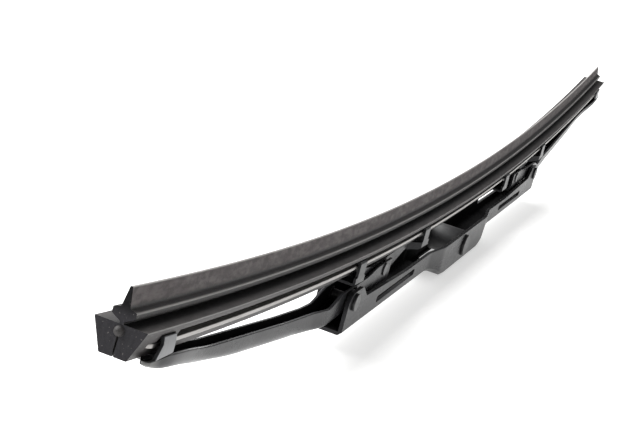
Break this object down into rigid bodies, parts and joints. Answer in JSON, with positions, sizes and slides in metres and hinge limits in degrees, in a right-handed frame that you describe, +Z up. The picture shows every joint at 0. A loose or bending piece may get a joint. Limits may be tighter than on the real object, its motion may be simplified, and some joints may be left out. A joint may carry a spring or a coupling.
{
  "type": "wiper blade",
  "caption": "Framed wiper blade: a rubber lip on spring steel rails, held by the claws of pivoting pressed yokes under a vented bridge with a swinging hook adapter.",
  "frame": {"origin": "middle of the blade's box, on the surface that it lies on", "axes": "+X along the blade towards its free end, +Y across it, +Z up towards the wiping lip"},
  "size_m": [0.6021, 0.0168, 0.0547],
  "materials": {
    "rubber": "matte, lightly powdered",
    "spring_steel": "satin",
    "black_paint": "semi-gloss black",
    "rivet_steel": "black",
    "bush_plastic": "matte black",
    "adapter_plastic": "moulded black"
  },
  "bodies": {
    "primary_frame": {"primary_bridge": "black_paint", "hub_pin": "rivet_steel", "near_main_rivet": "rivet_steel", "far_main_rivet": "rivet_steel", "wiper_rubber": "rubber", "rail_left": "spring_steel", "rail_right": "spring_steel"},
    "near_arm": {"near_yoke": "black_paint", "near_main_bush_left": "bush_plastic", "near_main_bush_right": "bush_plastic", "near_inner_rivet": "rivet_steel"},
    "far_arm": {"far_yoke": "black_paint", "far_main_bush_left": "bush_plastic", "far_main_bush_right": "bush_plastic", "far_inner_rivet": "rivet_steel"},
    "near_rocker": {"near_tertiary": "black_paint", "near_inner_bush": "bush_plastic"},
    "far_rocker": {"far_tertiary": "black_paint", "far_inner_bush": "bush_plastic"},
    "adapter": {"hook_adapter": "adapter_plastic"}
  },
  "joints": [
    {"name": "adapter_swing", "type": "hinge", "parent": "primary_frame", "child": "adapter", "pos_m": [0, 0, 0.007], "axis": [0, 1, 0], "range_deg": [0, 75]},
    {"name": "near_arm_pivot", "type": "hinge", "parent": "primary_frame", "child": "near_arm", "pos_m": [-0.14, 0, 0.0154], "axis": [0, 1, 0], "range_deg": [-3, 3], "stiffness_Nm_per_rad": 2, "deforming": ["wiper_rubber", "rail_left", "rail_right"]},
    {"name": "far_arm_pivot", "type": "hinge", "parent": "primary_frame", "child": "far_arm", "pos_m": [0.14, 0, 0.0154], "axis": [0, 1, 0], "range_deg": [-3, 3], "stiffness_Nm_per_rad": 2, "deforming": ["wiper_rubber", "rail_left", "rail_right"]},
    {"name": "near_rocker_pivot", "type": "hinge", "parent": "near_arm", "child": "near_rocker", "pos_m": [-0.1045, 0, 0.0178], "axis": [0, 1, 0], "range_deg": [-2, 2], "stiffness_Nm_per_rad": 0.5, "deforming": ["wiper_rubber", "rail_left", "rail_right"]},
    {"name": "far_rocker_pivot", "type": "hinge", "parent": "far_arm", "child": "far_rocker", "pos_m": [0.1045, 0, 0.0178], "axis": [0, 1, 0], "range_deg": [-2, 2], "stiffness_Nm_per_rad": 0.5, "deforming": ["wiper_rubber", "rail_left", "rail_right"]}
  ]
}
